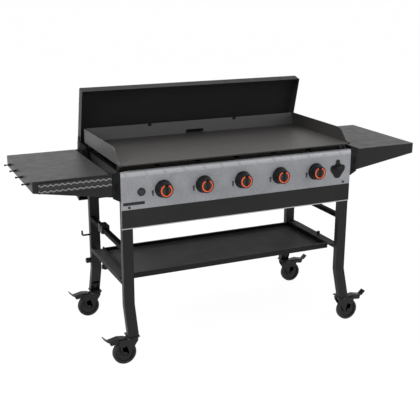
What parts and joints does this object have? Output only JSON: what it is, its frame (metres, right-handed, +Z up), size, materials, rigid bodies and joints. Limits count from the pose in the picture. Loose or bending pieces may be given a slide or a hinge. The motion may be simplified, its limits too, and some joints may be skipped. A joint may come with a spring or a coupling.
{
  "type": "outdoor gas griddle station",
  "caption": "Wheeled outdoor griddle station with a walled cooking plate, open leaning lid, folding side shelves, control panel with knobs, storage tray and splayed legs.",
  "frame": {"origin": "bottom centre of the whole station's box, on the floor under the middle of the box", "axes": "+X to the user's right along the control panel, +Y to the rear, +Z up"},
  "size_m": [1.7894, 0.7018, 1.0732],
  "materials": {
    "silver_sheet": "satin metallic paint",
    "black_sheet": "fine textured powder coat",
    "dark_grey_sheet": "satin powder coat",
    "griddle_steel": "rolled steel, oiled",
    "bright_steel": "zinc plated",
    "stainless": "brushed",
    "valve_casting": "die cast",
    "brass": "turned",
    "black_plastic": "fine grain",
    "button_plastic": "gloss",
    "tyre_rubber": "matte",
    "lid_sheet": "satin powder coat"
  },
  "bodies": {
    "stand": {"control_panel": "silver_sheet", "trim_band": "black_sheet", "right_side_panel": "black_sheet", "rear_panel": "black_sheet", "front_baffle": "stainless", "firebox_pan": "bright_steel", "burners": "stainless", "gas_manifold": "black_sheet", "gas_valves": "valve_casting", "knob_bezels": "black_plastic", "igniter_housing": "black_plastic", "bottle_opener": "black_sheet", "lid_pivots": "bright_steel", "shelf_brackets": "black_sheet", "legs": "black_sheet", "leg_bolts": "bright_steel", "upper_bars": "black_sheet", "lower_bars": "black_sheet", "bottom_tray": "dark_grey_sheet", "tray_thumbscrews": "black_plastic", "tank_bracket": "black_sheet", "bag_hook": "black_sheet", "cup_hanger": "black_sheet", "caster_mounts": "bright_steel", "left_side_panel": "black_sheet"},
    "griddle": {"griddle_plate": "griddle_steel", "griddle_pegs": "bright_steel"},
    "lid": {"lid_pan": "lid_sheet", "lid_arms": "black_sheet"},
    "left_shelf_body": {"left_shelf": "dark_grey_sheet", "utensil_hooks": "black_sheet", "tool_strip": "black_sheet"},
    "right_shelf_body": {"right_shelf": "dark_grey_sheet"},
    "left_latch_body": {"left_latch": "black_sheet"},
    "right_latch_body": {"right_latch": "black_sheet"},
    "igniter_button_body": {"igniter_button": "button_plastic"},
    "grease_cup_body": {"grease_cup": "bright_steel"},
    "knob_1_body": {"knob_1": "black_plastic"},
    "valve_plug_1_body": {"valve_plug_1": "brass"},
    "knob_2_body": {"knob_2": "black_plastic"},
    "valve_plug_2_body": {"valve_plug_2": "brass"},
    "knob_3_body": {"knob_3": "black_plastic"},
    "valve_plug_3_body": {"valve_plug_3": "brass"},
    "knob_4_body": {"knob_4": "black_plastic"},
    "valve_plug_4_body": {"valve_plug_4": "brass"},
    "knob_5_body": {"knob_5": "black_plastic"},
    "valve_plug_5_body": {"valve_plug_5": "brass"},
    "caster_fork_1_body": {"caster_fork_1": "bright_steel"},
    "caster_wheel_1_body": {"caster_wheel_1": "tyre_rubber"},
    "brake_pedal_1_body": {"brake_pedal_1": "black_sheet"},
    "caster_fork_2_body": {"caster_fork_2": "bright_steel"},
    "caster_wheel_2_body": {"caster_wheel_2": "tyre_rubber"},
    "brake_pedal_2_body": {"brake_pedal_2": "black_sheet"},
    "caster_fork_3_body": {"caster_fork_3": "bright_steel"},
    "caster_wheel_3_body": {"caster_wheel_3": "tyre_rubber"},
    "brake_pedal_3_body": {"brake_pedal_3": "black_sheet"},
    "caster_fork_4_body": {"caster_fork_4": "bright_steel"},
    "caster_wheel_4_body": {"caster_wheel_4": "tyre_rubber"},
    "brake_pedal_4_body": {"brake_pedal_4": "black_sheet"}
  },
  "joints": [
    {"name": "griddle_lift", "type": "slide", "parent": "stand", "child": "griddle", "axis": [0, 0, 1], "range_m": [0, 0.015]},
    {"name": "lid_swing", "type": "hinge", "parent": "stand", "child": "lid", "pos_m": [0.014, 0.03361, 0.682], "axis": [1, 0, 0], "range_deg": [0, 75.6]},
    {"name": "left_shelf_fold", "type": "hinge", "parent": "stand", "child": "left_shelf_body", "pos_m": [-0.5435, -0.05758, 0.7289], "axis": [0, -1, 0], "range_deg": [0, 90]},
    {"name": "right_shelf_fold", "type": "hinge", "parent": "stand", "child": "right_shelf_body", "pos_m": [0.5715, -0.05758, 0.7289], "axis": [0, 1, 0], "range_deg": [0, 90]},
    {"name": "left_latch_lift", "type": "hinge", "parent": "left_shelf_body", "child": "left_latch_body", "pos_m": [-0.5625, -0.25988, 0.7992], "axis": [0, -1, 0], "range_deg": [0, 30]},
    {"name": "right_latch_lift", "type": "hinge", "parent": "right_shelf_body", "child": "right_latch_body", "pos_m": [0.5905, -0.25988, 0.7992], "axis": [0, 1, 0], "range_deg": [0, 30]},
    {"name": "igniter_push", "type": "slide", "parent": "stand", "child": "igniter_button_body", "axis": [0, 1, 0], "range_m": [0, 0.004], "stiffness_N_per_m": 900},
    {"name": "grease_cup_lift", "type": "slide", "parent": "stand", "child": "grease_cup_body", "axis": [0, 0, 1], "range_m": [0, 0.02]},
    {"name": "knob_1_turn", "type": "hinge", "parent": "stand", "child": "valve_plug_1_body", "pos_m": [-0.343, -0.30439, 0.727], "axis": [0, -1, 0], "range_deg": [0, 225]},
    {"name": "knob_1_push", "type": "slide", "parent": "valve_plug_1_body", "child": "knob_1_body", "axis": [0, 1, 0], "range_m": [0, 0.0035], "stiffness_N_per_m": 1200},
    {"name": "knob_2_turn", "type": "hinge", "parent": "stand", "child": "valve_plug_2_body", "pos_m": [-0.1645, -0.30439, 0.727], "axis": [0, -1, 0], "range_deg": [0, 225]},
    {"name": "knob_2_push", "type": "slide", "parent": "valve_plug_2_body", "child": "knob_2_body", "axis": [0, 1, 0], "range_m": [0, 0.0035], "stiffness_N_per_m": 1200},
    {"name": "knob_3_turn", "type": "hinge", "parent": "stand", "child": "valve_plug_3_body", "pos_m": [0.014, -0.30439, 0.727], "axis": [0, -1, 0], "range_deg": [0, 225]},
    {"name": "knob_3_push", "type": "slide", "parent": "valve_plug_3_body", "child": "knob_3_body", "axis": [0, 1, 0], "range_m": [0, 0.0035], "stiffness_N_per_m": 1200},
    {"name": "knob_4_turn", "type": "hinge", "parent": "stand", "child": "valve_plug_4_body", "pos_m": [0.1925, -0.30439, 0.727], "axis": [0, -1, 0], "range_deg": [0, 225]},
    {"name": "knob_4_push", "type": "slide", "parent": "valve_plug_4_body", "child": "knob_4_body", "axis": [0, 1, 0], "range_m": [0, 0.0035], "stiffness_N_per_m": 1200},
    {"name": "knob_5_turn", "type": "hinge", "parent": "stand", "child": "valve_plug_5_body", "pos_m": [0.371, -0.30439, 0.727], "axis": [0, -1, 0], "range_deg": [0, 225]},
    {"name": "knob_5_push", "type": "slide", "parent": "valve_plug_5_body", "child": "knob_5_body", "axis": [0, 1, 0], "range_m": [0, 0.0035], "stiffness_N_per_m": 1200},
    {"name": "caster_1_swivel", "type": "hinge", "parent": "stand", "child": "caster_fork_1_body", "pos_m": [-0.4977, -0.32089, 0.112], "axis": [0, 0, 1], "continuous": true},
    {"name": "caster_1_roll", "type": "hinge", "parent": "caster_fork_1_body", "child": "caster_wheel_1_body", "pos_m": [-0.5327, -0.32089, 0.05], "axis": [0, 1, 0], "continuous": true},
    {"name": "caster_1_brake", "type": "hinge", "parent": "caster_fork_1_body", "child": "brake_pedal_1_body", "pos_m": [-0.5487, -0.32089, 0.105], "axis": [0, -1, 0], "range_deg": [0, 15]},
    {"name": "caster_2_swivel", "type": "hinge", "parent": "stand", "child": "caster_fork_2_body", "pos_m": [0.5257, -0.32089, 0.112], "axis": [0, 0, 1], "continuous": true},
    {"name": "caster_2_roll", "type": "hinge", "parent": "caster_fork_2_body", "child": "caster_wheel_2_body", "pos_m": [0.5607, -0.32089, 0.05], "axis": [0, 1, 0], "continuous": true},
    {"name": "caster_2_brake", "type": "hinge", "parent": "caster_fork_2_body", "child": "brake_pedal_2_body", "pos_m": [0.5767, -0.32089, 0.105], "axis": [0, 1, 0], "range_deg": [0, 15]},
    {"name": "caster_3_swivel", "type": "hinge", "parent": "stand", "child": "caster_fork_3_body", "pos_m": [-0.4977, 0.20572, 0.112], "axis": [0, 0, 1], "continuous": true},
    {"name": "caster_3_roll", "type": "hinge", "parent": "caster_fork_3_body", "child": "caster_wheel_3_body", "pos_m": [-0.5327, 0.20572, 0.05], "axis": [0, 1, 0], "continuous": true},
    {"name": "caster_3_brake", "type": "hinge", "parent": "caster_fork_3_body", "child": "brake_pedal_3_body", "pos_m": [-0.5487, 0.20572, 0.105], "axis": [0, -1, 0], "range_deg": [0, 15]},
    {"name": "caster_4_swivel", "type": "hinge", "parent": "stand", "child": "caster_fork_4_body", "pos_m": [0.5257, 0.20572, 0.112], "axis": [0, 0, 1], "continuous": true},
    {"name": "caster_4_roll", "type": "hinge", "parent": "caster_fork_4_body", "child": "caster_wheel_4_body", "pos_m": [0.5607, 0.20572, 0.05], "axis": [0, 1, 0], "continuous": true},
    {"name": "caster_4_brake", "type": "hinge", "parent": "caster_fork_4_body", "child": "brake_pedal_4_body", "pos_m": [0.5767, 0.20572, 0.105], "axis": [0, 1, 0], "range_deg": [0, 15]}
  ]
}
